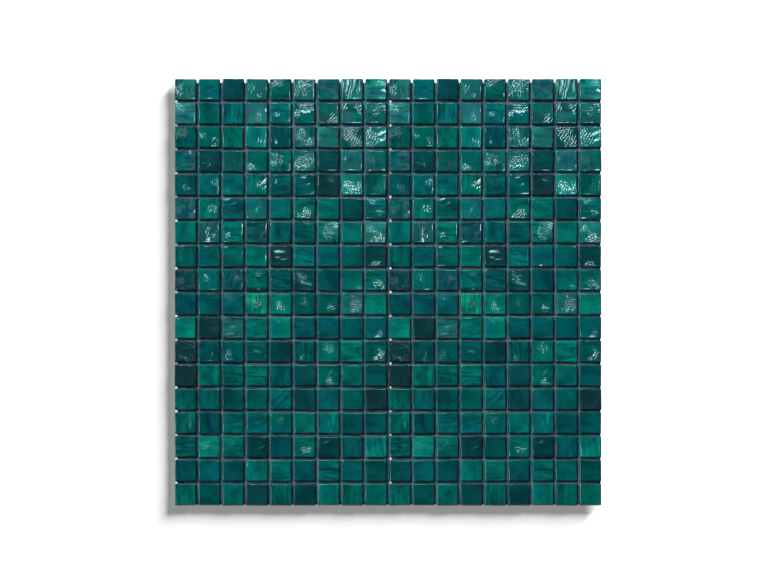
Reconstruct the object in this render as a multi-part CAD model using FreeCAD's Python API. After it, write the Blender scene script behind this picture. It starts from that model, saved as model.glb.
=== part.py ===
import FreeCAD, Part
import os
import random

# A sheet of glass mosaic: square tesserae set face up in rows on a backing mesh.
# Millimetres. X runs along the rows, Y towards the sheet's top row, Z up through the glass.
# The origin is the middle of the sheet's underside.

# The grid
row_count = 18
column_count = 18
repeat_columns = 9
joint_width = 1.4

# One tessera
tessera_side = 15.0
tessera_height = 4.0
corner_cut = 0.9
top_bevel = 0.75

# How far a pressed and hand-set tessera may be from the true one, either way
most_shift = 0.12
most_turn = 0.8
most_side_change = 0.14
most_height_change = 0.15

# The backing mesh, in two strips, held back from the edges of the outer tesserae
backing_thickness = 0.4
top_inset = 2.7
bottom_inset = 0.3
left_inset = 1.6
right_inset = 0.3
strip_lap = 0.4
strip_gap = 1.1

# The blend: how often each shade of glass is drawn for a place that no list below names
blend = {
    "viridian": 34,
    "teal": 38,
    "petrol": 34,
    "emerald": 10,
}
blend_seed = 10440
setting_seed = 7

# Places set by hand, as (column, row) from the top left, for the shades that stand out
chosen_places = {
    "jade": [(4, 10)],
    "emerald": [
        (2, 3), (3, 3), (2, 6), (6, 6), (3, 7), (7, 7), (5, 10), (9, 10), (1, 11), (5, 11),
        (8, 12), (4, 13), (6, 15), (2, 16), (3, 16), (6, 16), (9, 16), (4, 17), (7, 18),
    ],
    "viridian": [(9, 2), (4, 3), (1, 7), (8, 7), (2, 9), (7, 15), (8, 18)],
    "petrol": [(7, 1), (8, 6), (7, 8), (8, 11), (4, 12), (9, 13), (3, 14)],
    "sea_green": [
        (1, 1), (4, 1), (6, 1), (8, 1), (9, 1), (1, 2), (4, 2), (6, 3), (7, 3), (9, 3),
        (6, 4), (8, 5), (9, 7), (8, 10), (3, 11),
    ],
    "bottle_green": [
        (3, 1), (2, 4), (7, 4), (9, 8), (1, 9), (6, 9), (5, 12), (6, 13), (6, 14), (4, 16),
        (7, 16), (4, 18), (6, 18),
    ],
    "smoke": [(7, 5), (5, 8), (2, 11), (1, 12), (1, 13), (9, 14)],
}

pitch = tessera_side + joint_width
sheet_width = column_count * pitch - joint_width
sheet_length = row_count * pitch - joint_width


def octagon(width, length):
    """The plan of a tessera: a rectangle about the origin with its corners cut off."""
    x, y = width / 2, length / 2
    x_cut, y_cut = x - corner_cut, y - corner_cut
    corners = [
        (x_cut, -y), (x, -y_cut), (x, y_cut), (x_cut, y),
        (-x_cut, y), (-x, y_cut), (-x, -y_cut), (-x_cut, -y),
    ]
    points = [FreeCAD.Vector(*corner, 0) for corner in corners]
    return Part.makePolygon(points + points[:1])


def tessera(width, length, height):
    """One piece of glass, its foot on Z = 0, with the edges of its face bevelled."""
    block = Part.Face(octagon(width, length)).extrude(FreeCAD.Vector(0, 0, height))
    face = max(block.Faces, key=lambda side: side.CenterOfMass.z)
    return block.makeChamfer(top_bevel, face.Edges)


def shades_of_one_repeat():
    """The shade for each (column, row) of the repeat, both counted from 1."""
    listed = {place: shade for shade, places in chosen_places.items() for place in places}
    draw = random.Random(blend_seed)
    shades = {}
    for row in range(1, row_count + 1):
        for column in range(1, repeat_columns + 1):
            drawn = draw.choices(list(blend), weights=list(blend.values()))[0]
            shades[column, row] = listed.get((column, row), drawn)
    return shades


def glass_of_one_repeat():
    """The tessera for each (column, row) of the repeat, about the middle of its place."""
    draw = random.Random(setting_seed)

    def either_way(most):
        return draw.uniform(-most, most)

    glass = {}
    for row in range(1, row_count + 1):
        for column in range(1, repeat_columns + 1):
            width = tessera_side + either_way(most_side_change)
            length = tessera_side + either_way(most_side_change)
            piece = tessera(width, length, tessera_height + either_way(most_height_change))
            piece.rotate(FreeCAD.Vector(0, 0, 0), FreeCAD.Vector(0, 0, 1), either_way(most_turn))
            piece.translate(FreeCAD.Vector(either_way(most_shift), either_way(most_shift), 0))
            glass[column, row] = piece
    return glass


def middle_of_place(column, row):
    """Where a tessera stands on the backing, with column and row counted from 1."""
    x = (column - 0.5) * pitch - (sheet_width + joint_width) / 2
    y = (sheet_length + joint_width) / 2 - (row - 0.5) * pitch
    return FreeCAD.Vector(x, y, backing_thickness)


def all_tesserae():
    """Every tessera of the sheet, as lists by shade."""
    shades = shades_of_one_repeat()
    glass = glass_of_one_repeat()
    by_shade = {shade: [] for shade in list(blend) + list(chosen_places)}
    for row in range(1, row_count + 1):
        for column in range(1, column_count + 1):
            place = ((column - 1) % repeat_columns + 1, row)
            piece = glass[place].translated(middle_of_place(column, row))
            by_shade[shades[place]].append(piece)
    return {shade: pieces for shade, pieces in by_shade.items() if pieces}


def strip(left, right):
    """One strip of the backing between two places in X, the full length of the sheet."""
    bottom = -sheet_length / 2 + bottom_inset
    top = sheet_length / 2 - top_inset
    corner = FreeCAD.Vector(left, bottom, 0)
    return Part.makeBox(right - left, top - bottom, backing_thickness, corner)


def backing_strips():
    """The left strip laps under the right half's first column and holds the halves together."""
    lap_end = repeat_columns * pitch - sheet_width / 2 + strip_lap
    return {
        "left_backing_mesh": strip(-sheet_width / 2 + left_inset, lap_end),
        "right_backing_mesh": strip(lap_end + strip_gap, sheet_width / 2 - right_inset),
    }


def write(node, shape):
    shape.exportStep(f"parts/{node}.step")
    print(node, "solids", len(shape.Solids), "volume", round(shape.Volume, 1), shape.isValid())


os.makedirs("parts", exist_ok=True)
for shade, pieces in all_tesserae().items():
    write(f"{shade}_tesserae", Part.makeCompound(pieces))
for node, shape in backing_strips().items():
    write(node, shape)
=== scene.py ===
import math

import bmesh
import bpy
import numpy as np
from bpy.props import FloatProperty, FloatVectorProperty, IntProperty, PointerProperty
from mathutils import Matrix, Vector


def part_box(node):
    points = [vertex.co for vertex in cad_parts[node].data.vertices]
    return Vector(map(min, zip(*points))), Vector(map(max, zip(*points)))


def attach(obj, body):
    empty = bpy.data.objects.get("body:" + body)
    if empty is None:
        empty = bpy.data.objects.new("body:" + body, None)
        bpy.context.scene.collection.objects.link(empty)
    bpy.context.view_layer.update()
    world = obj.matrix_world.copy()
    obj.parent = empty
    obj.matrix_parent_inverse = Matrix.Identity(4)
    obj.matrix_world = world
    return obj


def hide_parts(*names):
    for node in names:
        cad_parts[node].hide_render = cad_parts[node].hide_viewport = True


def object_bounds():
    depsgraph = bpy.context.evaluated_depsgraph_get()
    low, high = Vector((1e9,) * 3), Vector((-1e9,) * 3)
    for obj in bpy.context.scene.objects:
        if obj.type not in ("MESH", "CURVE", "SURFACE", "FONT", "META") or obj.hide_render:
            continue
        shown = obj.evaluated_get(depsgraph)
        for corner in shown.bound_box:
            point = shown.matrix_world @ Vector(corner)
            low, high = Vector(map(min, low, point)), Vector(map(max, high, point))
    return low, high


bl_info = {
    "name": "Glass Mosaic Sheet",
    "version": (1, 0, 0),
    "blender": (4, 5, 0),
    "location": "3D View > Sidebar > Mosaic",
    "description": "Wrinkled glass tesserae on a woven backing, with a studio to show them in",
    "category": "Add Mesh",
}

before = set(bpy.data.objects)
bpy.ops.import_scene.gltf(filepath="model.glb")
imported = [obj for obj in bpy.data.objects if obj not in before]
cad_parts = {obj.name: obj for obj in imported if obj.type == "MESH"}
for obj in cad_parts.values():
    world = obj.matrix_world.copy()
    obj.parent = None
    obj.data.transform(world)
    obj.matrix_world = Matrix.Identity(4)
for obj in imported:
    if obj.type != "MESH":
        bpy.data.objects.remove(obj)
cad_low, cad_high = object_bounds()

MM = 0.001
SHADES = (
    "viridian", "teal", "petrol", "emerald", "sea_green", "bottle_green", "jade", "smoke",
)
BACKINGS = ("left_backing_mesh", "right_backing_mesh")

# The photograph's frame in pixels, and where the sheet lies in it
PHOTO_WIDTH, PHOTO_HEIGHT = 768, 585
SHEET_MIDDLE_PX = (388.1, 292.1)
SHEET_WIDTH_PX = 427.5


# Settings that a user would change


def length(name, description, default):
    return FloatProperty(
        name=name, description=description, default=default, min=0.0,
        unit="LENGTH", subtype="DISTANCE", precision=5,
    )


def share(name, description, default):
    return FloatProperty(
        name=name, description=description, default=default, min=0.0, max=1.0, subtype="FACTOR"
    )


def angle(name, description, degrees):
    return FloatProperty(
        name=name, description=description, default=math.radians(degrees), subtype="ANGLE"
    )


def colour(name, description, default):
    return FloatVectorProperty(
        name=name, description=description, default=default, size=3, min=0.0, max=1.0,
        subtype="COLOR",
    )


class GlassSettings(bpy.types.PropertyGroup):
    """Sizes and colours of the tesserae."""

    columns: IntProperty(name="Columns", description="Columns of the sheet", default=18, min=1)
    rows: IntProperty(name="Rows", description="Rows of the sheet", default=18, min=1)
    repeat: IntProperty(
        name="Repeat", description="Columns after which the sheet repeats", default=9, min=1
    )
    seed: IntProperty(name="Seed", description="Start of the draws of each tessera", default=11)
    plain_bands: IntProperty(
        name="Plain bands", description="Rows of faces across a smooth tessera", default=8, min=2
    )
    middle_bands: IntProperty(
        name="Middle bands", description="Rows of faces across a faintly wrinkled tessera",
        default=18, min=2,
    )
    fine_bands: IntProperty(
        name="Fine bands", description="Rows of faces across a wrinkled tessera", default=35, min=2
    )
    ripple: length("Ripple", "Height of the chill wrinkles", 0.2 * MM)
    broad: length("Broad wave", "Depth of the slow waves in a face", 0.06 * MM)
    lip: length("Lip", "Height of the raised lip inside the eased edge", 0.17 * MM)
    # Painted shade: the dark rim is widest at the lower right and bottom, the edges away from the
    # lamps
    dark_glass_and_shade_rim: length("Dark rim", "Width over which the glass darkens to its edge", 0.3 * MM)
    viridian: colour("Viridian", "Middle blue-green", (0.001, 0.125, 0.107))
    teal: colour("Teal", "Middle teal", (0.001, 0.1, 0.096))
    petrol: colour("Petrol", "Dark blue-green", (0.001, 0.071, 0.077))
    emerald: colour("Emerald", "Bright green", (0.001, 0.15, 0.12))
    sea_green: colour("Sea green", "Greyed green", (0.013, 0.15, 0.138))
    bottle_green: colour("Bottle green", "Dark green", (0.003, 0.048, 0.051))
    jade: colour("Jade", "Vivid green", (0.003, 0.216, 0.138))
    smoke: colour("Smoke", "Near-black green-brown", (0.01, 0.034, 0.038))
    # Painted highlight: whitens the upper left edges, which face the lamps
    edge_highlight: share("Worn edge", "How far the upper left edges are whitened", 0.03)
    # Ink and wine: the glass's dark edge, and painted shade where the rim widens at the lower right
    ink: colour("Ink", "Dark purple edges of the glass", (0.007, 0.004, 0.038))
    rim_wine_and_shade: colour("Wine", "Dark red edges of the glass", (0.018, 0.003, 0.018))
    deep: colour("Deep", "Dark streaks in the glass", (0.002, 0.034, 0.042))
    veil: colour("Veil", "Greyed mauve clouds in the glass", (0.035, 0.09, 0.115))
    # Pale and frost whiten the crests and lit edges: partly frost, partly painted glints and
    # highlights
    pale: colour("Pale", "Light green beside the crests", (0.05, 0.43, 0.39))
    frost: colour("Frost", "Whitened crests of the wrinkles", (0.28, 0.53, 0.55))


class BackingSettings(bpy.types.PropertyGroup):
    """Sizes and colours of the woven backing."""

    yarn_pitch: length("Yarn pitch", "From one yarn to the next", 5.0 * MM)
    yarn_width: length("Yarn width", "Width of a flat yarn", 0.9 * MM)
    yarn_height: length("Yarn height", "Thickness of a flat yarn", 0.12 * MM)
    film: length("Film", "Thickness of the adhesive between the yarns", 0.16 * MM)
    film_step: length("Film step", "Spacing of the film's faces", 5.0 * MM)
    wander: length("Wander", "How far the cut edges wander", 0.15 * MM)
    adhesive: colour("Adhesive", "Grey adhesive in the joints", (0.12, 0.39, 0.48))
    stain: colour("Stain", "Mauve patches of the adhesive", (0.29, 0.3, 0.43))
    yarn: colour("Yarn", "Glass-fibre yarn", (0.45, 0.6, 0.62))


class StudioSettings(bpy.types.PropertyGroup):
    """Camera, floor and lamps."""

    lens: FloatProperty(
        name="Lens", description="Focal length in millimetres", default=180.0, min=20.0
    )
    key: FloatProperty(name="Key", description="Level from the upper left", default=0.52)
    overhead: FloatProperty(name="Overhead", description="Level from above", default=0.32)
    shadow: FloatProperty(name="Shadow lamp", description="Level on the floor", default=1.1)
    gleam: FloatProperty(
        name="Gleam", description="Level of each lamp that only glints", default=0.11
    )
    fill: FloatProperty(name="Fill", description="Brightness of the horizon", default=0.045)
    key_zenith: angle("Key angle", "From straight up to the key", 52)
    overhead_zenith: angle("Overhead angle", "From straight up to the overhead lamp", 25)
    shadow_zenith: angle("Shadow lamp angle", "From straight up to the shadow lamp", 75.5)
    gleam_zenith: angle("Gleam angle", "From straight up to the lamps that only glint", 35)
    floor_glow: share("Floor glow", "Brightness of the floor inside the shadow", 0.27)


class MosaicSettings(bpy.types.PropertyGroup):
    """All settings of the mosaic sheet."""

    glass: PointerProperty(type=GlassSettings)
    backing: PointerProperty(type=BackingSettings)
    studio: PointerProperty(type=StudioSettings)


# Shader maths written as Python


class Value:
    """One output socket, whose sums and products add nodes."""

    def __init__(self, graph, socket):
        self.graph = graph
        self.socket = socket

    def maths(self, operation, *inputs):
        return self.graph.node("ShaderNodeMath", {"operation": operation}, dict(enumerate(inputs)))

    def __add__(self, other):
        return self.maths("ADD", self, other)

    def __radd__(self, other):
        return self.maths("ADD", other, self)

    def __sub__(self, other):
        return self.maths("SUBTRACT", self, other)

    def __rsub__(self, other):
        return self.maths("SUBTRACT", other, self)

    def __mul__(self, other):
        return self.maths("MULTIPLY", self, other)

    def __rmul__(self, other):
        return self.maths("MULTIPLY", other, self)

    def __lt__(self, other):
        return self.maths("LESS_THAN", self, other)

    def size(self):
        return self.maths("ABSOLUTE", self)

    def between(self, low, high):
        """0 below low, 1 above high, and smooth from one to the other."""
        return self.graph.node(
            "ShaderNodeMapRange",
            {"interpolation_type": "SMOOTHSTEP"},
            {"Value": self, "From Min": low, "From Max": high},
            "Result",
        )


def find(sockets, key):
    """The socket with this number, identifier or name."""
    if isinstance(key, int):
        return sockets[key]
    by_identifier = [s for s in sockets if s.identifier == key]
    return (by_identifier or [s for s in sockets if s.name == key])[0]


class Graph:
    """The nodes of a material or a world."""

    def __init__(self, owner):
        owner.use_nodes = True
        self.tree = owner.node_tree
        self.tree.nodes.clear()

    def node(self, kind, settings=None, inputs=None, output=0):
        made = self.tree.nodes.new(kind)
        for name, setting in (settings or {}).items():
            setattr(made, name, setting)
        for key, value in (inputs or {}).items():
            socket = find(made.inputs, key)
            if isinstance(value, Value):
                self.tree.links.new(value.socket, socket)
            else:
                socket.default_value = value
        if output is not None:
            return Value(self, find(made.outputs, output))

    def mix(self, factor, first, second):
        inputs = {"Factor_Float": factor, "A_Color": rgba(first), "B_Color": rgba(second)}
        return self.node("ShaderNodeMix", {"data_type": "RGBA"}, inputs, "Result_Color")

    def scaled(self, tint, factor):
        """A colour made darker or lighter by a factor."""
        settings = {"operation": "SCALE"}
        return self.node("ShaderNodeVectorMath", settings, {"Vector": tint, "Scale": factor})

    def noise(self, vector, scale, detail=2.0, roughness=0.5, distortion=0.0):
        inputs = {
            "Vector": vector, "Scale": scale, "Detail": detail,
            "Roughness": roughness, "Distortion": distortion,
        }
        return self.node("ShaderNodeTexNoise", {}, inputs, "Fac")

    def attribute(self, name, output="Fac"):
        return self.node("ShaderNodeAttribute", {"attribute_name": name}, {}, output)

    def parts(self, vector):
        """The X, Y and Z of a vector."""
        first = self.node("ShaderNodeSeparateXYZ", {}, {"Vector": vector}, "X")
        outputs = first.socket.node.outputs
        return [Value(self, find(outputs, name)) for name in "XYZ"]

    def bump(self, height, strength, distance):
        inputs = {"Height": height, "Strength": strength, "Distance": distance}
        return self.node("ShaderNodeBump", {}, inputs)

    def surface(self, inputs):
        """Ends a material with a surface that has these inputs."""
        shader = self.node("ShaderNodeBsdfPrincipled", {}, inputs)
        self.node("ShaderNodeOutputMaterial", {}, {"Surface": shader}, None)


def rgba(tint):
    """A colour with its alpha, or the value that gives it."""
    return tint if isinstance(tint, Value) else (*tint, 1.0)


GLASS_INDEX = 1.66


def glass_material(shade, settings):
    """Opaque glass with clouds and drawn-out streaks, darker at its edges, painted shade and glints.
    """
    made = bpy.data.materials.new(f"{shade}_glass")
    graph = Graph(made)
    flow = graph.node("ShaderNodeUVMap", {"uv_map": "flow"})
    names = ("tone", "smoke", "veil", "frost", "edge", "wrinkle")
    tone, smoke, veil, frost, edge, wrinkle = (graph.attribute(name) for name in names)

    def drawn_out(scale, place, *noise):
        """Noise stretched along the flow, started from this place."""
        inputs = {"Vector": flow, "Scale": (*scale, 1.0), "Location": (*place, 0.0)}
        return graph.noise(graph.node("ShaderNodeMapping", {}, inputs), 1.0, *noise)

    clouds = graph.noise(flow, 0.13, 3.0, 0.55, 0.6)
    shades = drawn_out((0.05, 0.09), (83.0, 3.0), 2.0, 0.5, 0.4)
    streaks = drawn_out((0.06, 0.5), (0.0, 0.0), 3.0, 0.55, 0.1)
    threads = drawn_out((0.05, 1.1), (31.0, 7.0), 2.0, 0.55)
    blots = drawn_out((0.2, 0.32), (17.0, 71.0), 3.0, 0.6, 0.4)
    drift = drawn_out((0.13, 0.24), (5.0, 53.0), 3.0, 0.6, 1.2)

    base = getattr(settings, shade)
    bluer = (base[0], base[1] * 0.82, base[2] * 1.04)
    greener = (base[0] * 0.2, base[1] * 1.18, base[2] * 0.96)
    body = graph.mix(clouds.between(0.3, 0.7), bluer, greener)
    body = graph.mix(smoke * streaks.between(0.42, 0.66), body, settings.deep)
    body = graph.mix(smoke * blots.between(0.52, 0.66), body, settings.deep)
    body = graph.mix(veil * drift.between(0.42, 0.7), body, settings.veil)
    # Painted glints: thin pale green lines over the wrinkled parts
    painted_glint_lines = drawn_out((0.3, 0.75), (0.0, 0.0), 2.0, 0.5, 0.5) - 0.5
    painted_glint_lines = wrinkle * (1.0 - painted_glint_lines.size().between(0.01, 0.05)) * drift.between(0.42, 0.6)
    body = graph.mix(0.045 * painted_glint_lines, body, settings.pale)
    # Painted glints and highlights: whitened crests and lit edges go from pale green to frost white
    body = graph.mix(frost, body, graph.mix(frost, settings.pale, settings.frost))
    body = graph.scaled(body, tone * (0.78 + 0.44 * threads))
    body = graph.scaled(body, 0.76 + 0.44 * shades.between(0.35, 0.62))
    # The rim darkens to ink and wine, widened at the lower right and bottom as painted shade
    rim = edge.between(0.0, settings.dark_glass_and_shade_rim / MM)
    hues = graph.noise(flow, 0.12, 1.0)
    dark = graph.mix(hues.between(0.42, 0.58), settings.rim_wine_and_shade, settings.ink)
    body = graph.mix(rim, dark, body)

    rough = 0.05 + 0.05 * clouds + 0.12 * frost
    dimples = drawn_out((0.6, 1.6), (0.0, 0.0), 3.0, 0.55)
    normal = graph.bump((0.03 + 0.75 * wrinkle * wrinkle) * (dimples - 0.5), 0.8, 0.5 * MM)
    graph.surface({"Base Color": body, "Roughness": rough, "Normal": normal, "IOR": GLASS_INDEX})
    return made


def backing_material(settings):
    """Woven glass fibre in a thin grey coat of adhesive."""
    made = bpy.data.materials.new("backing_mesh")
    graph = Graph(made)
    place = graph.node("ShaderNodeTexCoord", {}, {}, "Object")
    woven = graph.attribute("woven")
    blotches = graph.noise(place, 240.0, 3.0, 0.6)
    grains = graph.noise(place, 2600.0, 2.0, 0.6)
    stains = graph.noise(place, 60.0, 2.0, 0.6)
    adhesive = settings.adhesive
    darker = tuple(0.66 * part for part in adhesive)
    body = graph.mix(blotches.between(0.35, 0.65), darker, adhesive)
    body = graph.mix(stains.between(0.45, 0.58), body, settings.stain)
    body = graph.mix(woven * (0.55 + 0.45 * blotches), body, settings.yarn)
    body = graph.scaled(body, 0.84 + 0.32 * grains)
    graph.surface({
        "Base Color": body, "Roughness": 0.62 + 0.2 * grains, "Specular IOR Level": 0.1,
        "Normal": graph.bump(grains, 0.5, 0.05 * MM),
    })
    return made


def finished(bm, name):
    """The mesh that a bmesh holds, under this name."""
    mesh = bpy.data.meshes.new(name)
    bm.to_mesh(mesh)
    bm.free()
    return mesh


# The tesserae as the CAD model sets them


def islands(bm):
    """The vertices of each closed solid in a mesh."""
    left = set(bm.verts)
    while left:
        found = set()
        reached = {left.pop()}
        while reached:
            found |= reached
            beside = {edge.other_vert(vert) for vert in reached for edge in vert.link_edges}
            reached = beside - found
        left -= found
        yield np.array([vert.co for vert in found])


# A tessera is made this much smaller than its solid, so that no rounding takes it outside
WITHIN = 0.9998

# Corners this close to a level or an end belong to it, and vertices this close are one
NEAR = 0.1 * MM
MERGED = 0.001 * MM


def measured(corners):
    """Place, turn and sizes of one tessera from the corners of its solid, in metres."""
    foot = corners[corners[:, 2] < corners[:, 2].min() + NEAR]
    top = corners[corners[:, 2] > corners[:, 2].max() - NEAR]
    middle = (foot.min(0) + foot.max(0)) / 2
    outline = foot[np.argsort(np.arctan2(foot[:, 1] - middle[1], foot[:, 0] - middle[0]))]
    sides = np.roll(outline, -1, 0) - outline
    longest = sides[np.argmax(np.hypot(sides[:, 0], sides[:, 1]))]
    quarter = math.pi / 2
    turn = (math.atan2(longest[1], longest[0]) + quarter / 2) % quarter - quarter / 2
    straight = turned(foot[:, 0] - middle[0], foot[:, 1] - middle[1], -turn)
    face = turned(top[:, 0] - middle[0], top[:, 1] - middle[1], -turn)
    width, length_ = np.ptp(straight[0]), np.ptp(straight[1])
    at_end = np.abs(straight[0]) > width / 2 - NEAR
    return {
        "middle": middle,
        "turn": turn,
        "half": (WITHIN * width / 2, WITHIN * length_ / 2),
        "cut": length_ / 2 - np.abs(straight[1][at_end]).max(),
        "bevel": (width - np.ptp(face[0])) / 2,
        "top": corners[:, 2].max(),
    }


def turned(x, y, by):
    """X and Y turned about the origin by an angle."""
    return x * math.cos(by) - y * math.sin(by), x * math.sin(by) + y * math.cos(by)


def tesserae_of(node):
    """What measured() gives for each tessera of a node, in reading order."""
    bm = bmesh.new()
    bm.from_mesh(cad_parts[node].data)
    bmesh.ops.remove_doubles(bm, verts=bm.verts, dist=MERGED)
    found = [measured(corners) for corners in islands(bm)]
    bm.free()
    return sorted(found, key=lambda tile: (round(-tile["middle"][1], 2), tile["middle"][0]))


def place_of(tile, settings):
    """The (column, row) of a tessera within the repeat, both from 1."""
    low, high = Vector(cad_low), Vector(cad_high)
    column = int((tile["middle"][0] - low.x) / (high.x - low.x) * settings.columns)
    row = int((high.y - tile["middle"][1]) / (high.y - low.y) * settings.rows)
    return column % settings.repeat + 1, row + 1


# Wrinkles, in millimetres from the middle of a tessera

# Each kind of wrinkle: spacing, bend, and how far its waves stray from their way, in degrees
KINDS = {
    "lines": (1.4, 0.0, 20.0),
    "arcs": (1.4, 0.12, 18.0),
    "crinkles": (1.4, 0.03, 50.0),
    "swirls": (1.55, 0.22, 36.0),
    "slabs": (4.2, 0.05, 28.0),
    "bars": (3.4, 0.0, 7.0),
}
BROAD_KINDS = ("slabs", "bars")
WAVES = 7

# The heights of the summed waves that are a hollow and a crest
HOLLOW, CREST = -0.3, 1.5
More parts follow.
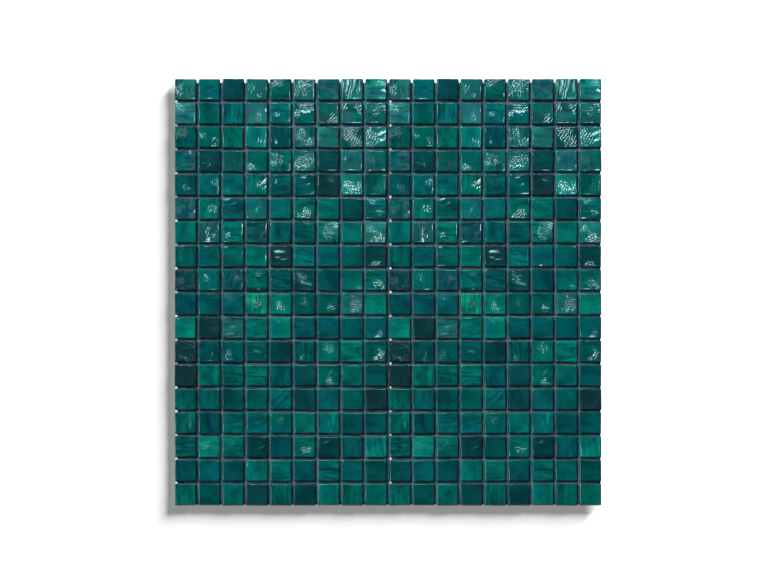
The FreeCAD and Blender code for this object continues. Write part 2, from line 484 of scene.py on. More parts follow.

# Tesserae that stand out, as (column, row) of the repeat. Each patch is its kind, the way the
# wrinkles run in degrees from +X, its middle in half sides, its reach in half sides, its height
# and how far its crests are whitened. All these lists of places were typed in and tuned
# against the photograph.
# The whitened crests are partly frost and partly painted glints
PATCHES = {
    (1, 1): [("crinkles", 80, -0.6, 0.0, 0.8, 1.4, 0.9)],
    (2, 1): [("lines", 0, 0.0, -0.2, 0.8, 0.6, 0.1)],
    (3, 1): [("slabs", 90, 0.9, 0.0, 0.5, 0.8, 0.2)],
    (4, 1): [("swirls", 65, -0.45, 0.15, 0.7, 1.3, 0.3), ("crinkles", 0, 0.25, -0.5, 0.4, 1.0, 0.2)],
    (5, 1): [("swirls", 20, -0.25, 0.65, 1.0, 1.4, 0.4)],
    (6, 1): [("crinkles", 80, -0.5, 0.0, 1.1, 1.6, 0.7), ("swirls", 30, 0.5, 0.4, 1.1, 1.6, 0.65)],
    (7, 1): [("lines", 0, 0.0, 0.0, 1.2, 0.3, 0.0)],
    (8, 1): [("bars", 86, 0.1, 0.2, 1.2, 2.6, 1.0), ("lines", 86, -0.3, 0.2, 1.2, 2.4, 1.0)],
    (9, 1): [("lines", -25, 0.5, 0.65, 0.7, 1.8, 0.9), ("slabs", 0, 0.6, -0.25, 0.5, 2.2, 1.0)],
    (1, 2): [("lines", -35, -0.5, 0.5, 0.7, 1.5, 0.8)],
    (2, 2): [("arcs", 60, 0.5, 0.3, 0.4, 0.9, 0.1)],
    (3, 2): [("lines", 90, 0.0, 0.0, 1.4, 0.4, 0.0)],
    (4, 2): [("lines", 90, 0.2, -0.4, 0.7, 1.1, 0.3)],
    (5, 2): [("arcs", -45, -0.25, -0.05, 0.45, 1.6, 0.7)],
    (6, 2): [("crinkles", -15, 0.1, 0.7, 1.2, 1.9, 1.0), ("slabs", -18, 0.1, 0.3, 0.8, 2.0, 1.0),
             ("crinkles", 20, -0.7, -0.1, 0.5, 1.5, 0.6)],
    (7, 2): [("lines", 40, 0.4, -0.5, 0.9, 1.3, 0.2)],
    (8, 2): [("crinkles", 20, 0.7, 0.5, 0.8, 2.0, 1.0), ("crinkles", 30, -0.7, 0.6, 0.6, 1.5, 0.6)],
    (9, 2): [("crinkles", -30, 0.7, 0.6, 0.8, 1.7, 0.6), ("arcs", 0, 0.0, 0.0, 0.6, 1.0, 0.2)],
    (1, 3): [("arcs", 56, -0.5, 0.3, 1.0, 1.1, 0.08)],
    (2, 3): [("swirls", 90, -0.7, 0.1, 0.5, 1.25, 0.12), ("crinkles", 60, 0.5, -0.4, 0.5, 1.25, 0.12)],
    (3, 3): [("slabs", 90, 0.95, 0.4, 0.3, 1.2, 0.5)],
    (4, 3): [("lines", 72, 0.6, -0.4, 0.7, 1.35, 0.4)],
    (5, 3): [("slabs", 75, -0.45, -0.3, 0.6, 2.4, 1.0)],
    (6, 3): [("arcs", 80, -0.5, 0.1, 1.0, 1.4, 0.35), ("lines", 83, 0.4, -0.5, 0.8, 1.6, 0.7)],
    (7, 3): [("slabs", 0, -0.4, 0.85, 0.5, 1.0, 0.5)],
    (8, 3): [("lines", 60, 0.2, 0.1, 1.1, 1.7, 0.35), ("crinkles", 5, 0.1, -0.7, 0.9, 1.5, 0.3),
             ("crinkles", 10, -0.3, 0.7, 0.9, 1.4, 0.3)],
    (9, 3): [("slabs", 55, 0.6, 0.3, 0.9, 2.3, 1.0), ("crinkles", 100, -0.4, -0.1, 1.2, 2.2, 1.0)],
    (1, 4): [("crinkles", 45, 0.4, 0.7, 0.3, 1.0, 0.2)],
    (2, 4): [("slabs", -30, -0.3, -0.1, 0.8, 2.0, 1.0), ("lines", 90, 0.0, -0.4, 0.4, 1.1, 0.4)],
    (3, 4): [("slabs", 90, 0.95, -0.1, 0.6, 0.9, 0.3)],
    (4, 4): [("crinkles", -45, -0.6, -0.6, 0.7, 2.0, 1.0)],
    (5, 4): [("lines", -52, -0.3, 0.1, 1.1, 1.6, 0.6), ("slabs", 80, 0.7, -0.3, 0.5, 1.7, 0.8)],
    (6, 4): [("swirls", -45, 0.3, 0.1, 1.1, 1.7, 0.65), ("crinkles", 60, -0.6, -0.3, 0.9, 1.5, 0.6)],
    (7, 4): [("arcs", 0, 0.0, 0.5, 0.5, 0.6, 0.1), ("slabs", 3, 0.3, -0.9, 0.5, 1.3, 0.5)],
    (8, 4): [("lines", 85, -0.7, 0.2, 0.4, 1.3, 0.4)],
    (9, 4): [("crinkles", 50, -0.5, 0.0, 0.6, 0.9, 0.1), ("slabs", 20, -0.6, -0.85, 0.25, 1.5, 0.8)],
    (1, 5): [("arcs", 60, 0.1, -0.4, 0.7, 0.9, 0.1)],
    (2, 5): [("lines", -65, 0.6, 0.3, 0.6, 1.5, 0.5), ("slabs", 80, 0.8, -0.6, 0.5, 1.5, 0.7)],
    (3, 5): [("lines", -35, -0.5, -0.5, 0.5, 0.9, 0.2)],
    (4, 5): [("slabs", 60, 0.6, 0.4, 0.8, 2.3, 1.0), ("lines", 80, 0.5, -0.2, 0.7, 1.7, 0.8)],
    (5, 5): [("arcs", 150, -0.4, 0.2, 0.5, 0.9, 0.2)],
    (6, 5): [("slabs", 35, 0.15, 0.1, 0.5, 1.6, 0.5), ("crinkles", 0, 0.0, 0.95, 0.6, 1.25, 0.3)],
    (7, 5): [("arcs", 30, 0.1, 0.5, 0.5, 1.1, 0.3), ("slabs", 0, -0.3, 0.95, 0.4, 1.1, 0.3)],
    (8, 5): [("swirls", 20, -0.3, -0.1, 0.8, 2.2, 1.0), ("slabs", 10, 0.0, -0.5, 1.2, 2.0, 1.0),
             ("crinkles", 75, 0.6, -0.3, 0.8, 1.9, 1.0)],
    (9, 5): [("crinkles", 50, 0.3, -0.2, 1.2, 0.8, 0.1)],
    (1, 6): [("lines", 50, -0.5, 0.0, 0.7, 0.7, 0.1)],
    (2, 6): [("lines", 83, 0.3, 0.0, 0.7, 1.5, 0.5)],
    (3, 6): [("slabs", 0, -0.3, 0.7, 0.9, 2.2, 1.0)],
    (4, 6): [("slabs", 80, 0.3, 0.0, 0.7, 1.25, 0.3)],
    (5, 6): [("slabs", 25, 0.3, -0.2, 0.35, 0.7, 0.2)],
    (6, 6): [("crinkles", 40, -0.1, -0.7, 0.8, 2.2, 1.0), ("lines", 65, 0.3, -0.3, 0.6, 1.6, 0.7)],
    (7, 6): [("lines", -30, -0.6, 0.5, 0.5, 0.9, 0.2)],
    (9, 6): [("crinkles", 10, -0.3, 0.6, 0.6, 1.4, 0.4), ("crinkles", 10, 0.3, -0.2, 0.5, 1.4, 0.4),
             ("slabs", 0, 0.3, -0.9, 0.5, 1.8, 0.9)],
    (2, 7): [("slabs", 55, -0.1, -0.7, 0.4, 1.7, 0.8), ("lines", 80, 0.1, 0.0, 0.7, 1.25, 0.3)],
    (3, 7): [("crinkles", 20, -0.5, -0.2, 0.4, 1.5, 0.5), ("slabs", 20, -0.5, -0.7, 0.3, 1.6, 0.7)],
    (6, 7): [("crinkles", 0, 0.2, 0.95, 0.5, 1.0, 0.2), ("slabs", 25, 0.5, -0.3, 0.2, 1.3, 0.5)],
    (7, 7): [("lines", -25, 0.5, 0.7, 0.8, 2.2, 1.0), ("lines", -20, 0.0, 0.0, 1.0, 1.0, 0.3)],
    (8, 7): [("lines", 0, 0.0, 0.2, 1.0, 0.5, 0.0)],
    (9, 7): [("lines", -45, -0.5, 0.3, 0.8, 1.4, 0.4), ("slabs", -50, 0.2, -0.2, 1.0, 2.5, 1.0),
             ("crinkles", 30, 0.3, -0.7, 0.9, 2.2, 1.0)],
    (1, 8): [("lines", 90, -0.3, 0.6, 0.6, 0.5, 0.1)],
    (3, 8): [("slabs", -15, -0.6, 0.95, 0.4, 1.5, 0.7)],
    (4, 8): [("lines", 0, 0.0, 0.0, 1.2, 0.5, 0.0)],
    (5, 8): [("bars", -3, 0.0, 0.5, 1.1, 1.9, 0.9), ("bars", 3, -0.2, -0.5, 1.0, 1.7, 0.7)],
    (6, 8): [("crinkles", 30, -0.6, -0.2, 0.5, 0.7, 0.1)],
    (9, 8): [("crinkles", 30, -0.1, -0.75, 0.7, 1.5, 0.5)],
    (2, 9): [("lines", -50, -0.35, 0.2, 0.55, 1.8, 0.6)],
    (3, 9): [("crinkles", 90, 0.3, 0.1, 0.35, 1.0, 0.2)],
    (4, 9): [("crinkles", -20, 0.25, 0.45, 0.5, 1.0, 0.2), ("slabs", 0, 0.1, -0.75, 0.3, 1.4, 0.6)],
    (5, 9): [("lines", 40, -0.5, -0.2, 0.6, 0.8, 0.0)],
    (6, 9): [("bars", -15, 0.2, -0.5, 0.9, 1.4, 0.4), ("lines", -10, -0.3, 0.3, 0.8, 1.0, 0.2)],
    (8, 9): [("slabs", 0, -0.2, 0.9, 0.4, 1.5, 0.7), ("crinkles", 30, 0.5, -0.7, 0.5, 1.0, 0.3)],
    (9, 9): [("crinkles", -45, 0.1, -0.3, 0.6, 1.6, 0.6), ("lines", -45, 0.65, -0.5, 0.6, 1.9, 1.0)],
    (3, 10): [("arcs", -30, -0.3, 0.5, 0.6, 1.0, 0.2)],
    (4, 10): [("lines", 68, 0.0, 0.0, 1.0, 1.0, 0.1)],
    (5, 10): [("slabs", -40, -0.55, 0.0, 0.35, 1.8, 0.9), ("crinkles", 70, 0.0, -0.3, 0.8, 1.6, 0.5)],
    (6, 10): [("crinkles", 50, 0.0, 0.2, 0.8, 0.8, 0.15)],
    (7, 10): [("crinkles", 5, 0.25, -0.45, 0.7, 1.3, 0.2)],
    (8, 10): [("crinkles", 20, 0.3, 0.0, 1.1, 1.7, 0.6), ("slabs", 10, 0.5, -0.8, 0.35, 1.7, 0.8)],
    (9, 10): [("slabs", -5, 0.0, -0.9, 0.5, 1.3, 0.5)],
    (1, 11): [("crinkles", 0, -0.6, 0.85, 0.3, 1.0, 0.3)],
    (2, 11): [("crinkles", 30, 0.5, 0.1, 0.8, 0.85, 0.05)],
    (3, 11): [("slabs", 0, 0.0, -0.5, 1.0, 1.6, 0.6)],
    (5, 11): [("lines", -35, -0.2, 0.6, 0.3, 1.1, 0.3), ("slabs", 0, 0.35, 0.65, 0.25, 1.0, 0.3)],
    (6, 11): [("slabs", 15, 0.0, -0.7, 0.3, 1.4, 0.6)],
    (7, 11): [("lines", 0, 0.0, 0.3, 0.7, 0.6, 0.0)],
    (8, 11): [("lines", 85, 0.3, -0.1, 0.6, 0.7, 0.0)],
    (9, 11): [("slabs", 5, 0.2, -0.85, 0.6, 1.7, 0.8), ("crinkles", 20, 0.5, -0.5, 0.5, 1.1, 0.3)],
    (1, 12): [("slabs", -30, 0.3, -0.7, 0.7, 1.7, 0.6)],
    (2, 12): [("crinkles", 20, 0.0, -0.3, 0.8, 0.9, 0.1)],
    (3, 12): [("lines", -30, -0.4, -0.4, 0.6, 1.15, 0.3), ("crinkles", 50, -0.3, 0.0, 0.6, 1.0, 0.1)],
    (4, 12): [("slabs", -40, 0.2, -0.1, 0.9, 1.6, 0.4)],
    (6, 12): [("lines", 85, -0.2, -0.6, 0.5, 1.2, 0.3)],
    (7, 12): [("lines", 80, 0.0, 0.3, 0.8, 1.25, 0.3)],
    (8, 12): [("slabs", 5, 0.0, -0.88, 0.3, 1.9, 1.0)],
    (9, 12): [("swirls", 30, 0.3, -0.6, 0.9, 2.4, 1.0), ("lines", 60, 0.6, -0.2, 0.5, 1.4, 0.4)],
    (7, 13): [("lines", 0, 0.2, -0.65, 0.7, 1.3, 0.4), ("bars", 60, 0.2, 0.3, 0.7, 1.0, 0.2)],
    (1, 15): [("bars", 88, -0.2, 0.0, 1.2, 1.3, 0.15)],
    (5, 15): [("crinkles", 90, 0.1, 0.3, 0.8, 0.9, 0.1)],
    (6, 15): [("bars", -40, 0.2, -0.1, 1.0, 1.1, 0.12)],
    (2, 16): [("lines", -40, -0.2, 0.1, 0.9, 0.9, 0.15), ("bars", 40, 0.5, 0.0, 0.8, 1.1, 0.1)],
    (3, 16): [("bars", 35, 0.0, 0.1, 0.9, 1.1, 0.12)],
    (4, 16): [("bars", 25, 0.1, 0.2, 0.8, 1.5, 0.4)],
    (6, 16): [("lines", 20, 0.1, -0.2, 0.8, 1.4, 0.3)],
    (7, 16): [("slabs", 30, -0.2, 0.4, 0.6, 1.3, 0.3)],
    (3, 17): [("crinkles", 0, 0.1, -0.6, 0.25, 1.4, 0.5)],
    (9, 17): [("slabs", 30, 0.0, 0.5, 0.3, 1.4, 0.5)],
}
CALM_ROW = 12

# Tesserae of the repeat with a grey haze in the glass
VEILED = {
    (1, 1), (7, 1), (1, 2), (4, 2), (7, 2), (8, 2), (9, 2), (7, 3), (1, 4), (3, 4), (8, 4),
    (9, 4), (1, 6), (4, 6), (2, 7), (4, 7), (1, 9), (3, 9), (3, 11), (1, 12),
}

# Tesserae of the repeat that are lighter or darker than most of their shade, and by how much
LIGHTER = {
    (2, 1), (3, 1), (7, 1), (9, 1), (1, 2), (3, 2), (5, 2), (6, 2), (4, 3), (8, 4), (9, 4),
    (2, 5), (3, 6), (9, 6), (2, 8), (6, 8), (7, 8), (3, 9), (1, 10), (2, 10), (3, 10), (4, 10),
    (1, 11), (4, 11), (5, 11), (6, 11), (7, 11), (9, 11), (3, 12), (4, 12), (8, 12), (5, 13),
    (6, 13), (5, 14), (6, 14), (7, 14), (3, 15), (4, 15), (7, 15), (2, 16), (8, 16), (9, 16),
    (2, 17),
}
DARKER = {
    (4, 1), (5, 1), (6, 1), (7, 2), (1, 3), (2, 3), (3, 3), (6, 3), (8, 3), (3, 4), (6, 4), (9, 5),
    (6, 6), (8, 6), (6, 10), (7, 10), (9, 12), (7, 13), (9, 17), (2, 18), (8, 18), (9, 18),
}
LIGHTER_BY, DARKER_BY = 1.35, 0.72

# Painted light: the upper rows are made lighter by this share, from the first of these rows to none
PAINTED_LIGHT_ROWS = (5, 10)
PAINTED_LIGHT_ABOVE = 0.2

# The wrinkles and lips grow lower from the first of these rows to the last, by this share
FADING_ROWS = (7, 12)
FADED = 0.4

# A patch at least this high is finely wrinkled, and one below the lower level has broad waves
FINE_HEIGHT = 1.25
BROAD_HEIGHT = 0.45

# How light a tessera is drawn: the middle, the spread, and the least and the most
TONE, TONE_SPREAD = 1.17, 0.045
TONE_LIMITS = (1.0, 1.35)


def swell(x, y, draw, wavelength, waves=4):
    """A slow random field from about -1 to 1."""
    total = 0.0
    for _ in range(waves):
        way, phase = draw.uniform(0, 2 * math.pi, 2)
        pace = 2 * math.pi / (wavelength * draw.uniform(0.7, 1.4))
        total = total + np.sin(pace * (x * math.cos(way) + y * math.sin(way)) + phase)
    return total / waves ** 0.7


def ease(value, low, high):
    """0 below low, 1 above high, and smooth from one to the other."""
    part = np.clip((value - low) / (high - low), 0.0, 1.0)
    return part * part * (3 - 2 * part)


def crests(x, y, draw, kind, degrees):
    """Broken ridges from 0 in the hollows to 1 on the crests."""
    spacing, bend, stray = KINDS[kind]
    along, across = turned(x, y, -math.radians(degrees))
    if bend:
        across = np.hypot(along, across + 1 / bend) - 1 / bend
    total = 0.0
    for _ in range(WAVES):
        way = math.radians(draw.uniform(-stray, stray))
        pace = 2 * math.pi / (spacing * draw.uniform(0.8, 1.5))
        lag = draw.uniform(0, 2 * math.pi)
        total = total + np.cos(pace * (across * math.cos(way) + along * math.sin(way)) + lag)
    return ease(total / math.sqrt(WAVES / 2), HOLLOW, CREST)


def patch_list(place, draw):
    """The wrinkled patches of a tessera: those listed for its place, or a drawn one."""
    if place in PATCHES:
        return PATCHES[place]
    height = draw.uniform(0.1, 0.5 if place[1] > CALM_ROW else 0.8)
    if height < BROAD_HEIGHT:
        kind = "slabs"
    else:
        kind = draw.choice(["lines", "arcs", "crinkles", "swirls"])
    middle = draw.uniform(-0.7, 0.7, 2)
    return [(kind, draw.uniform(0, 180), *middle, draw.uniform(0.5, 1.1), height, 0.0)]


def bands_for(patches, settings):
    """How many rows of faces the wrinkles of a tessera need."""
    wrinkled = max([patch[5] for patch in patches if patch[0] not in BROAD_KINDS], default=0.0)
    broad = max([patch[5] for patch in patches if patch[0] in BROAD_KINDS], default=0.0)
    if wrinkled >= FINE_HEIGHT:
        return settings.fine_bands
    if wrinkled >= BROAD_HEIGHT or broad >= FINE_HEIGHT:
        return settings.middle_bands
    return settings.plain_bands


def relief(x, y, half, draw, patches, settings):
    """Height of the face in metres about its middle, and how far it is whitened as frost and painted
    glint.
    """
    height = settings.broad * swell(x, y, draw, 13.0, 3)
    white = np.zeros_like(x)
    crumpled = np.zeros_like(x)
    for kind, degrees, left, up, reach, strength, whitened in patches:
        away = np.hypot(x - left * half, y - up * half) / (reach * half)
        away = away + 0.25 * swell(x, y, draw, 7.0)
        mask = 1 - ease(away, 0.35, 1.0)
        ridge = crests(x, y, draw, kind, degrees) * mask
        height = height + settings.ripple * strength * ridge
        # Painted glint: the crests are whitened as well as lit by the lamps
        white = np.maximum(white, whitened * ridge ** 4)
        rough = 0.6 if kind in BROAD_KINDS else 1.0
        crumpled = np.maximum(crumpled, rough * min(strength, 1.0) * mask)
    return height, white, crumpled


# The blank of a tessera

# How far in from the outline the rows of faces that follow the edge lie, in millimetres
RIM_STEPS = (0.0, 0.2, 0.42, 0.6, 0.8, 1.02, 1.3)
RIM_BANDS = len(RIM_STEPS) - 1

# A corner's roundness as a share of its cut, and where the relief starts and is whole
CORNER_SHARE = 0.95
RELIEF_FROM, RELIEF_TO = 0.1 * MM, 1.2 * MM

# The lip inside the bevel, the drop of the edge in bevels, and the painted highlight line along it
LIP_INSIDE, LIP_WIDTH = 0.1 * MM, 0.28 * MM
EDGE_DROP, EDGE_CURVE = 1.35, 1.25
EDGE_HIGHLIGHT_INSIDE, EDGE_HIGHLIGHT_WIDTH = 0.15 * MM, 0.25 * MM


def blank(bands):
    """A square of faces with a skirt down to a foot, in steps from -1 to 1."""
    count = bands + 2 * RIM_BANDS
    bm = bmesh.new()
    bmesh.ops.create_grid(bm, x_segments=count, y_segments=count, size=1.0)
    outline = [edge for edge in bm.edges if edge.is_boundary]
    skirt = bmesh.ops.extrude_edge_only(bm, edges=outline)["geom"]
    for vert in skirt:
        if isinstance(vert, bmesh.types.BMVert):
            vert.co.z = -1.0
    foot = [edge for edge in bm.edges if edge.is_boundary]
    bmesh.ops.contextual_create(bm, geom=foot)
    for face in bm.faces:
        face.smooth = True
    for edge in foot:
        edge.smooth = False
    bmesh.ops.recalc_face_normals(bm, faces=bm.faces)
    return finished(bm, f"blank_{bands}")


def stepped(part, half, bands):
    """Where the step at this part of the way, -1 to 1, lies across a tessera."""
    count = bands + 2 * RIM_BANDS
    step = np.rint((part + 1) / 2 * count)
    inward = np.minimum(step, count - step)
    rim = MM * np.interp(inward, range(RIM_BANDS + 1), RIM_STEPS)
    flat = (half - rim) * (1 - 2 * (inward - RIM_BANDS) / bands)
    return np.sign(part) * np.where(inward < RIM_BANDS, half - rim, flat)


def formed(mesh, tile, bands, settings, draw, patches, lively):
    """Vertex places and shading values of one tessera made from a blank."""
    flat = np.zeros(len(mesh.vertices) * 3)
    mesh.vertices.foreach_get("co", flat)
    u, v, low = flat.reshape(-1, 3).T
    half_x, half_y = tile["half"]
    x = stepped(u, half_x, bands)
    y = stepped(v, half_y, bands)

    # The corners of the steps are drawn in to a round corner
    radius = CORNER_SHARE * tile["cut"]
    over_x = (np.abs(x) - (half_x - radius)) / radius
    over_y = (np.abs(y) - (half_y - radius)) / radius
    corner = (over_x > 0) & (over_y > 0)
    round_x = np.where(corner, over_x * np.sqrt(1 - np.clip(over_y, 0, 1) ** 2 / 2), over_x)
    round_y = np.where(corner, over_y * np.sqrt(1 - np.clip(over_x, 0, 1) ** 2 / 2), over_y)
    x = np.sign(x) * (half_x - radius + round_x * radius)
    y = np.sign(y) * (half_y - radius + round_y * radius)
    outside = np.hypot(np.maximum(round_x, 0), np.maximum(round_y, 0))
    outside = outside + np.minimum(np.maximum(round_x, round_y), 0)
    edge = np.maximum(radius * (1 - outside), 0.0)

    rise, white, crumpled = relief(x / MM, y / MM, half_x / MM, draw, patches, settings)
    rise = lively * (rise - np.median(rise)) * ease(edge, RELIEF_FROM, RELIEF_TO)

    # The edge is eased and its lip raised, both most at the lower right
    lean = ease(x / half_x - y / half_y, -0.7, 0.7)
    reach = 0.85 - 0.2 * lively + (0.3 + 0.35 * lively) * lean
    reach = tile["bevel"] * (reach + 0.1 * swell(x / MM, y / MM, draw, 5.0))
    uneven = np.clip(swell(x / MM, y / MM, draw, 12.0), 0.0, 1.0)
    lip = settings.lip * lively ** 2 * (0.2 + 0.8 * lean) * (0.35 + 1.6 * uneven)
    rise = rise + lip * np.exp(-(((edge - reach - LIP_INSIDE) / LIP_WIDTH) ** 2))
    inward = np.clip(1 - edge / reach, 0.0, 1.0)
    top = tile["top"] - max(rise.max(), 0.0)
    z = top + rise - EDGE_DROP * tile["bevel"] * inward ** EDGE_CURVE
    z = np.where(low < -0.5, tile["middle"][2], z)
    moved = turned(x, y, tile["turn"])
    places = np.stack([moved[0] + tile["middle"][0], moved[1] + tile["middle"][1], z], 1)

    # Painted highlight: the edges that face the lamps are whitened, the more so in the lower rows
    edge_highlight = settings.edge_highlight * (1 - lean) * (0.3 + 1.75 * (1 - lively))
    white = np.maximum(white, edge_highlight * np.exp(-(((edge - EDGE_HIGHLIGHT_INSIDE) / EDGE_HIGHLIGHT_WIDTH) ** 2)))
    # Painted shade: the dark rim is widened along the right and the bottom edges
    wide = 0.6 + 1.3 * lean + 0.7 * ease(-y / half_y, 0.6, 0.95)
    edge = np.where(low < -0.5, 0.0, edge / wide)
    return places, x / MM, y / MM, edge / MM, white, crumpled


def shading(place, draw, patches):
    """Lightness, smoke, veil and streak direction of one tessera."""
    tone = float(np.clip(draw.normal(TONE, TONE_SPREAD), *TONE_LIMITS))
    tone = tone * (LIGHTER_BY if place in LIGHTER else DARKER_BY if place in DARKER else 1.0)
    # Painted light: the upper rows lighter, as if lit more from the top
    tone = tone * (1 + PAINTED_LIGHT_ABOVE * (1 - ease(place[1], *PAINTED_LIGHT_ROWS)))
    smoke = draw.uniform(0.0, 0.9)
    veil = draw.uniform(0.6, 1.0) if place in VEILED else draw.uniform(0.0, 0.07)
    way = draw.choice([0.0, 90.0, 45.0, 135.0], p=[0.5, 0.45, 0.03, 0.02])
    if place in PATCHES:
        way = 90.0 * round(patches[0][1] / 90)
    return tone, smoke, veil, math.radians(way + draw.normal(0, 4))


def glass_mesh(shade, settings, blanks):
    """All tesserae of one shade as one mesh."""
    bm = bmesh.new()
    names = ("co", "flow", "tone", "smoke", "veil", "frost", "wrinkle", "edge")
    columns = {name: [] for name in names}
    for tile in tesserae_of(f"{shade}_tesserae"):
        place = place_of(tile, settings)
        draw = np.random.default_rng([settings.seed, *place])
        patches = patch_list(place, draw)
        bands = bands_for(patches, settings)
        mesh = blanks[bands]
        bm.from_mesh(mesh)
        lively = 1 - FADED * ease(place[1], *FADING_ROWS)
        places, x, y, edge, white, crumpled = formed(
            mesh, tile, bands, settings, draw, patches, lively
        )
        tone, smoke, veil, way = shading(place, draw, patches)
        along, across = turned(x, y, -way)
        offset = draw.uniform(0, 400, 2)
        columns["co"].append(places)
        columns["flow"].append(np.stack([along + offset[0], across + offset[1]], 1))
        for name, value in (("tone", tone), ("smoke", smoke), ("veil", veil)):
            columns[name].append(np.full(len(x), value))
        columns["frost"].append(white)
        columns["wrinkle"].append(crumpled)
        columns["edge"].append(edge)
    made = finished(bm, f"{shade}_glass")
    made.vertices.foreach_set("co", np.concatenate(columns.pop("co")).ravel())
    corners = np.zeros(len(made.loops), int)
    made.loops.foreach_get("vertex_index", corners)
    flow = np.concatenate(columns.pop("flow"))[corners]
    made.uv_layers.new(name="flow").uv.foreach_set("vector", flow.ravel())
    for name, values in columns.items():
        layer = made.attributes.new(name, "FLOAT", "POINT")
        layer.data.foreach_set("value", np.concatenate(values))
    made.update()
    return made


def add_piece(mesh, name, nodes, finish):
    """Puts a finished mesh into the scene for the CAD nodes that it stands for."""
    mesh.materials.append(finish)
    piece = bpy.data.objects.new(name, mesh)
    bpy.context.scene.collection.objects.link(piece)
    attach(piece, "root")
    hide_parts(*nodes)


class MOSAIC_OT_glass(bpy.types.Operator):
    """Add the tesserae, one mesh for each shade of glass"""

    bl_idname = "mosaic.glass"
    bl_label = "Glass tesserae"

    def execute(self, context):
        settings = context.scene.mosaic.glass
        levels = (settings.plain_bands, settings.middle_bands, settings.fine_bands)
        blanks = {bands: blank(bands) for bands in levels}
        for shade in SHADES:
            mesh = glass_mesh(shade, settings, blanks)
            finish = glass_material(shade, settings)
            add_piece(mesh, f"{shade}_mosaic", [f"{shade}_tesserae"], finish)
        for mesh in blanks.values():
            bpy.data.meshes.remove(mesh)
        return {"FINISHED"}


# The backing

# The film's lumps, and the starts of the draws of its lumps and of its edges
LUMP = 0.03 * MM
LUMP_SEED, EDGE_SEED = 5, 6
AT_EDGE = 1 - 1e-4


def film(bm, low, high, settings):
    """A thin lumpy sheet of adhesive with wandering edges, set between the strip's corners."""
    span = high - low
    across, down = (max(2, round(side / settings.film_step)) for side in span[:2])
    grid = bmesh.ops.create_grid(bm, x_segments=across, y_segments=down, size=1.0)
    bottom = grid["verts"]
    faces = list({face for vert in bottom for face in vert.link_faces})
    raised = bmesh.ops.extrude_face_region(bm, geom=faces)["geom"]
    top = [vert for vert in raised if isinstance(vert, bmesh.types.BMVert)]
    thickness = settings.film
    for verts, level in ((bottom, high.z - thickness), (top, high.z)):
        flat = np.array([vert.co for vert in verts])
        x = low.x + span.x * (flat[:, 0] + 1) / 2
        y = low.y + span.y * (flat[:, 1] + 1) / 2
        lumps = swell(x / MM, y / MM, np.random.default_rng(LUMP_SEED), 7.0, 6)
        edge = np.abs(flat[:, :2]) > AT_EDGE
        wandering = swell(y / MM, x / MM, np.random.default_rng(EDGE_SEED), 11.0)
        drawn_in = settings.wander * (0.5 + 0.5 * wandering)
        drawn_in = np.clip(drawn_in, 0.0, 2 * settings.wander)
        x = x - np.where(edge[:, 0], np.sign(flat[:, 0]) * drawn_in, 0.0)
        y = y - np.where(edge[:, 1], np.sign(flat[:, 1]) * drawn_in, 0.0)
        z = level - LUMP * (1 + np.clip(lumps, -1, 1))
        for vert, place in zip(verts, zip(x, y, z)):
            vert.co = place


def strand(segments):
    """A four-sided strand one unit wide and tall, from 0 to 1 along Z."""
    bm = bmesh.new()
    ring = bmesh.ops.create_circle(bm, segments=4, radius=0.5, cap_ends=True)["verts"]
    edges = [edge for edge in bm.edges if edge.verts[0] in ring]
    for _ in range(segments):
        drawn_out = bmesh.ops.extrude_edge_only(bm, edges=edges)["geom"]
        for part in drawn_out:
            if isinstance(part, bmesh.types.BMVert):
                part.co.z += 1 / segments
        edges = [
            part for part in drawn_out
            if isinstance(part, bmesh.types.BMEdge) and part.is_boundary
        ]
    bmesh.ops.contextual_create(bm, geom=edges)
    return finished(bm, "strand")


def yarns(bm, low, high, along, settings):
    """Flat yarns side by side along one axis, each rising and dipping at every crossing."""
    across = 1 - along
    pitch = settings.yarn_pitch
    run = high[along] - low[along]
    count = int((high[across] - low[across]) / pitch)
    first = (low[across] + high[across] - (count - 1) * pitch) / 2
    mesh = strand(max(2, round(run / (pitch / 2))))
    flat = np.zeros(len(mesh.vertices) * 3)
    mesh.vertices.foreach_get("co", flat)
    wide, tall, part = flat.reshape(-1, 3).T
    middle = low.z + settings.yarn_height
    for number in range(count):
        start = len(bm.verts)
        bm.from_mesh(mesh)
        bm.verts.ensure_lookup_table()
        wave = np.cos(math.pi * (part * run / pitch + number + along))
        places = np.zeros((len(part), 3))
        places[:, along] = low[along] + part * run
        places[:, across] = first + number * pitch + wide * settings.yarn_width
        places[:, 2] = middle + settings.yarn_height * (0.45 * wave + tall)
        for vert, place in zip(bm.verts[start:], places):
            vert.co = place
    bpy.data.meshes.remove(mesh)


def backing_mesh(node, settings):
    """Film and yarns of one strip as one mesh, inside the strip's CAD box."""
    low, high = (Vector(corner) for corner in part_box(node))
    bm = bmesh.new()
    film(bm, low, high, settings)
    film_count = len(bm.verts)
    inset = Vector((settings.wander, settings.wander, 0.0))
    for along in (0, 1):
        yarns(bm, low + inset, high - inset, along, settings)
    for face in bm.faces:
        face.smooth = True
    bmesh.ops.recalc_face_normals(bm, faces=bm.faces)
    mesh = finished(bm, node)
    woven = mesh.attributes.new("woven", "FLOAT", "POINT")
    woven.data.foreach_set("value", (np.arange(len(mesh.vertices)) >= film_count).astype(float))
    return mesh


class MOSAIC_OT_backing(bpy.types.Operator):
    """Add the two strips of woven backing in their coat of adhesive"""

    bl_idname = "mosaic.backing"
    bl_label = "Woven backing"

    def execute(self, context):
        settings = context.scene.mosaic.backing
        finish = backing_material(settings)
        for node in BACKINGS:
            mesh = backing_mesh(node, settings)
            add_piece(mesh, node.replace("_mesh", "_weave"), [node], finish)
        return {"FINISHED"}


# The studio

# The arc of distant lamps that the wrinkles mirror, in degrees from +X
ARC_LAMPS = 10
ARC_FIRST, ARC_LAST = 62, 188
GLEAM_TINT = (0.6, 0.97, 1.0)

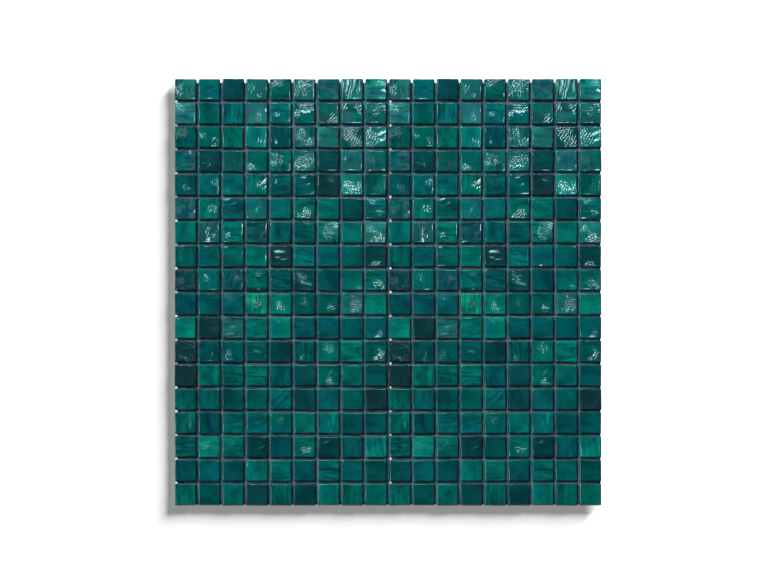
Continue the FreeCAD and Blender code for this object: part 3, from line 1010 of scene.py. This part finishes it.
# Where the lamps stand, in degrees from +X, and how wide they are seen, in degrees
KEY_WAY, KEY_SPREAD = 135, 14
OVERHEAD_WAY, OVERHEAD_SPREAD = 127, 5
SHADOW_WAY, SHADOW_SPREAD = 49.5, 26
GLEAM_SPREAD = 5

# The floor's half side and drop below the sheet, and the inset and glowing spots of its covered part
FLOOR_HALF = 6.0
FLOOR_DROP = 0.02 * MM
UNDER_INSET = 0.5 * MM
UNDER_GLOW_TINT = (0.85, 0.9, 0.88)

SENSOR_WIDTH = 36.0
CLIP_END = 30.0
WHITE = (1.0, 1.0, 1.0)


def towards(azimuth, zenith):
    """The direction of a lamp, by degrees from +X and an angle from straight up."""
    flat = math.sin(zenith)
    turn = math.radians(azimuth)
    return Vector((flat * math.cos(turn), flat * math.sin(turn), math.cos(zenith)))


def sun(name, level, way, spread, linked):
    """A distant lamp that lights a level face to this level, 1 being plain.

    It shines from this direction, on the objects that the linked collection names.
    """
    data = bpy.data.lights.new(name, "SUN")
    data.energy = level * math.pi / way.z
    data.angle = math.radians(spread)
    lamp = bpy.data.objects.new(name, data)
    lamp.rotation_euler = way.to_track_quat("Z", "Y").to_euler()
    lamp.light_linking.receiver_collection = linked
    bpy.context.scene.collection.objects.link(lamp)
    return lamp


def add_arc(settings, linked):
    """Lamps seen only as glints, from the upper right round to the left."""
    for number in range(ARC_LAMPS):
        azimuth = ARC_FIRST + (ARC_LAST - ARC_FIRST) * number / (ARC_LAMPS - 1)
        way = towards(azimuth, settings.gleam_zenith)
        lamp = sun(f"arc_lamp_{number + 1}", settings.gleam, way, GLEAM_SPREAD, linked)
        lamp.visible_diffuse = False
        lamp.data.color = GLEAM_TINT


def floor_material(settings):
    """White for the camera where it is lit, with a soft grey shadow."""
    made = bpy.data.materials.new("pale_floor")
    graph = Graph(made)
    place = graph.node("ShaderNodeTexCoord", {}, {}, "Object")
    x, y = graph.parts(place)[:2]
    half = (cad_high[0] - cad_low[0]) / 2 - UNDER_INSET
    under = (x.size() < half) * (y.size() < half)
    glow = settings.floor_glow
    spots = graph.noise(place, 70.0, 0.0)
    # Painted light: pale glowing spots on the floor under the sheet, which lies in its shade
    tint = graph.mix(under * spots.between(0.3, 0.6), (glow, glow, glow), UNDER_GLOW_TINT)
    # Painted light: near the sheet's top and right edges the floor glows white, erasing the shadow's
    # ends
    fading = (2 * MM, 12.4 * MM)
    shadow_kept = (cad_high[0] - x).between(*fading) * (cad_high[1] - y).between(*fading)
    tint = graph.mix((1.0 - shadow_kept) * (1.0 - under), tint, WHITE)
    matt = graph.node("ShaderNodeBsdfDiffuse", {}, {"Color": (0.8, 0.8, 0.8, 1.0)})
    bright = graph.node("ShaderNodeEmission", {}, {"Color": tint, "Strength": 1.0})
    both = graph.node("ShaderNodeAddShader", {}, {0: matt, 1: bright})
    seen = graph.node("ShaderNodeLightPath", {}, {}, "Is Camera Ray")
    shader = graph.node("ShaderNodeMixShader", {}, {"Fac": seen, 1: matt, 2: both})
    graph.node("ShaderNodeOutputMaterial", {}, {"Surface": shader}, None)
    return made


def add_floor(settings):
    """A wide level floor just below the sheet."""
    bm = bmesh.new()
    bmesh.ops.create_grid(bm, x_segments=1, y_segments=1, size=FLOOR_HALF)
    bmesh.ops.translate(bm, verts=bm.verts, vec=(0.0, 0.0, -FLOOR_DROP))
    mesh = finished(bm, "floor")
    mesh.materials.append(floor_material(settings))
    floor = bpy.data.objects.new("floor", mesh)
    bpy.context.scene.collection.objects.link(floor)
    return floor


def add_world(settings):
    """White for the camera, else dark overhead with a lighter horizon."""
    world = bpy.data.worlds.new("studio")
    graph = Graph(world)
    way = graph.node("ShaderNodeTexCoord", {}, {}, "Generated")
    up = graph.parts(way)[2]
    level = settings.fill
    around = graph.mix(up.between(0.1, 0.75), (level, level, level), (0.0, 0.0, 0.0))
    seen = graph.node("ShaderNodeLightPath", {}, {}, "Is Camera Ray")
    tint = graph.mix(seen, around, WHITE)
    shader = graph.node("ShaderNodeBackground", {}, {"Color": tint, "Strength": 1.0})
    graph.node("ShaderNodeOutputWorld", {}, {"Surface": shader}, None)
    bpy.context.scene.world = world


def add_camera(settings):
    """A camera straight above the face, framed as the photograph is."""
    data = bpy.data.cameras.new("camera")
    data.lens = settings.lens
    data.sensor_width = SENSOR_WIDTH
    data.clip_end = CLIP_END
    camera = bpy.data.objects.new("camera", data)
    per_pixel = (cad_high[0] - cad_low[0]) / SHEET_WIDTH_PX
    away = PHOTO_WIDTH * per_pixel * data.lens / data.sensor_width
    x = (PHOTO_WIDTH / 2 - SHEET_MIDDLE_PX[0]) * per_pixel
    y = (SHEET_MIDDLE_PX[1] - PHOTO_HEIGHT / 2) * per_pixel
    camera.location = (x, y, cad_high[2] + away)
    bpy.context.scene.collection.objects.link(camera)
    bpy.context.scene.camera = camera


class MOSAIC_OT_studio(bpy.types.Operator):
    """Add the floor, the world, the lamps and the camera"""

    bl_idname = "mosaic.studio"
    bl_label = "Studio"

    def execute(self, context):
        settings = context.scene.mosaic.studio
        floor = add_floor(settings)
        add_world(settings)
        add_camera(settings)
        not_floor = bpy.data.collections.new("all_but_floor")
        not_floor.objects.link(floor)
        not_floor.collection_objects[0].light_linking.link_state = "EXCLUDE"
        only_floor = bpy.data.collections.new("floor_alone")
        only_floor.objects.link(floor)
        way = towards(KEY_WAY, settings.key_zenith)
        sun("key", settings.key, way, KEY_SPREAD, not_floor)
        way = towards(OVERHEAD_WAY, settings.overhead_zenith)
        overhead = sun("overhead", settings.overhead, way, OVERHEAD_SPREAD, not_floor)
        overhead.visible_glossy = False
        way = towards(SHADOW_WAY, settings.shadow_zenith)
        sun("shadow_lamp", settings.shadow, way, SHADOW_SPREAD, only_floor)
        add_arc(settings, not_floor)
        context.scene.view_settings.view_transform = "Standard"
        return {"FINISHED"}


class MOSAIC_PT_panel(bpy.types.Panel):
    """Steps that build the mosaic sheet and its studio"""

    bl_idname = "MOSAIC_PT_panel"
    bl_label = "Glass mosaic sheet"
    bl_space_type = "VIEW_3D"
    bl_region_type = "UI"
    bl_category = "Mosaic"

    def draw(self, context):
        for step in STEPS:
            self.layout.operator(step.bl_idname)


STEPS = (MOSAIC_OT_glass, MOSAIC_OT_backing, MOSAIC_OT_studio)
CLASSES = (
    GlassSettings, BackingSettings, StudioSettings, MosaicSettings, *STEPS, MOSAIC_PT_panel,
)


def register():
    for made in CLASSES:
        bpy.utils.register_class(made)
    bpy.types.Scene.mosaic = PointerProperty(type=MosaicSettings)


def unregister():
    del bpy.types.Scene.mosaic
    for made in reversed(CLASSES):
        bpy.utils.unregister_class(made)


def main():
    register()
    bpy.ops.mosaic.glass()
    bpy.ops.mosaic.backing()
    bpy.ops.mosaic.studio()


if __name__ == "__main__":
    main()
